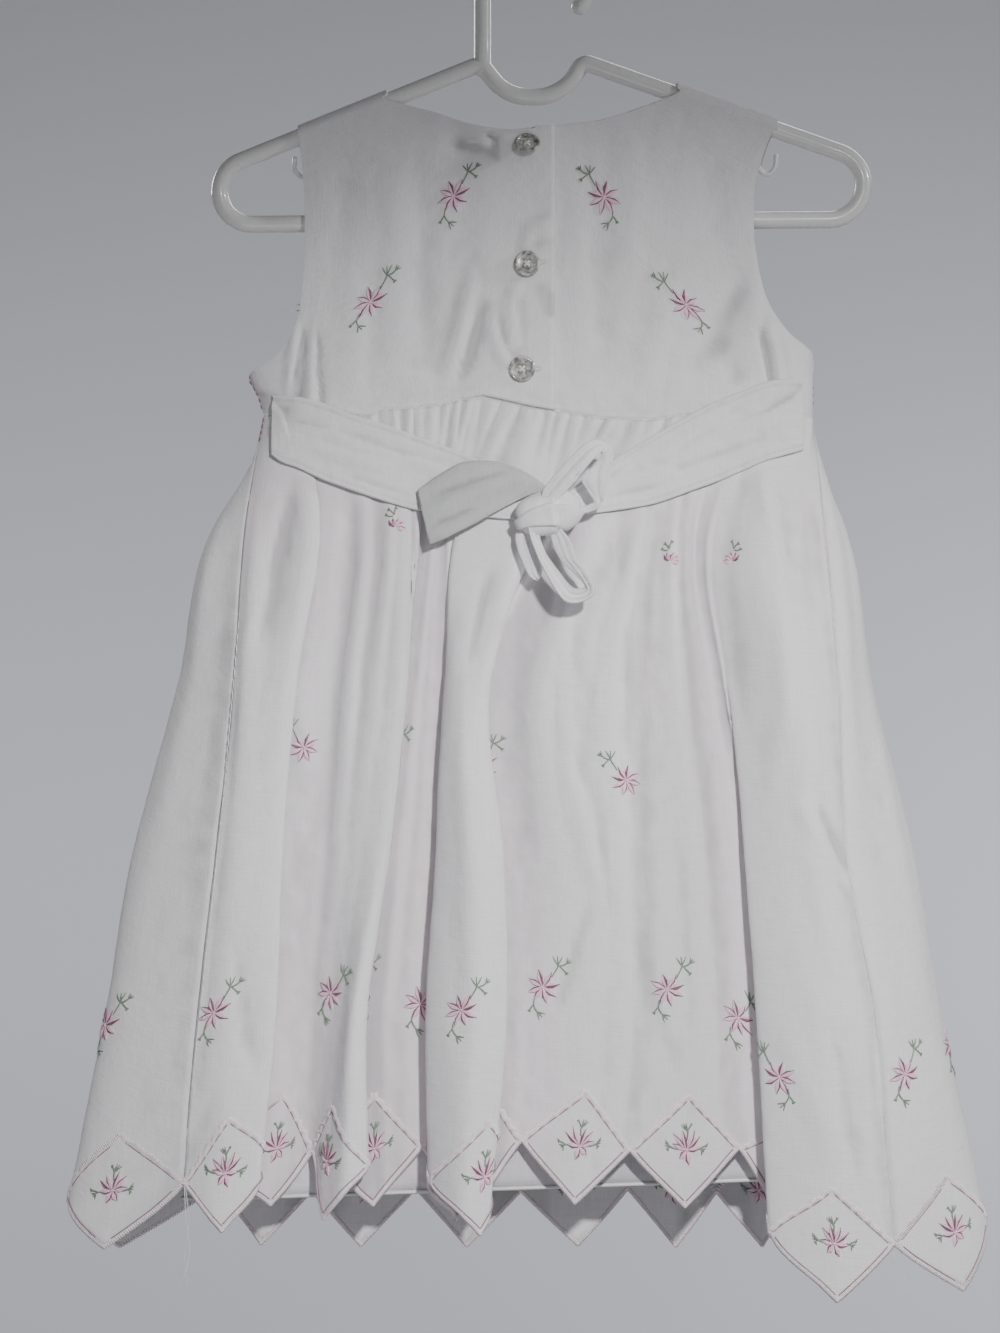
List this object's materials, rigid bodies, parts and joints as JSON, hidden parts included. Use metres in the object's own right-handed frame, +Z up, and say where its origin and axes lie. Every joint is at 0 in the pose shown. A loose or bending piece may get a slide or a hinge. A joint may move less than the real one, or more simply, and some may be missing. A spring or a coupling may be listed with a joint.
{
  "type": "toddler dress on hanger",
  "caption": "Sleeveless high-waisted toddler dress with buttoned back, tied sash, folded skirt and zigzag hem, hung on a plastic tube hanger.",
  "frame": {"origin": "inner top of the hanger's hook, where the rod or nail that holds it sits", "axes": "+Z up, +X to the right as seen from the dress's buttoned back, which faces -Y; +Y towards the wall"},
  "size_m": [0.4245, 0.0746, 0.6385],
  "materials": {
    "cotton": "white plain-weave cotton with pink and green embroidery",
    "lining": "thin white cotton lining",
    "plastic": "glossy white moulded plastic",
    "pearl": "grey-white pearly plastic"
  },
  "bodies": {
    "root": {"hanger": "plastic", "bodice_front": "cotton", "bodice_back_left": "cotton", "bodice_back_right": "cotton", "skirt_front": "cotton", "skirt_back": "cotton", "lining_front": "lining", "lining_back": "lining", "sash_left": "cotton", "sash_right": "cotton", "sash_tail_left": "cotton", "sash_tail_low": "cotton", "sash_loop_upper": "cotton", "sash_loop_lower": "cotton", "sash_knot": "cotton", "button_top": "pearl", "button_middle": "pearl", "button_low": "pearl"}
  },
  "joints": []
}
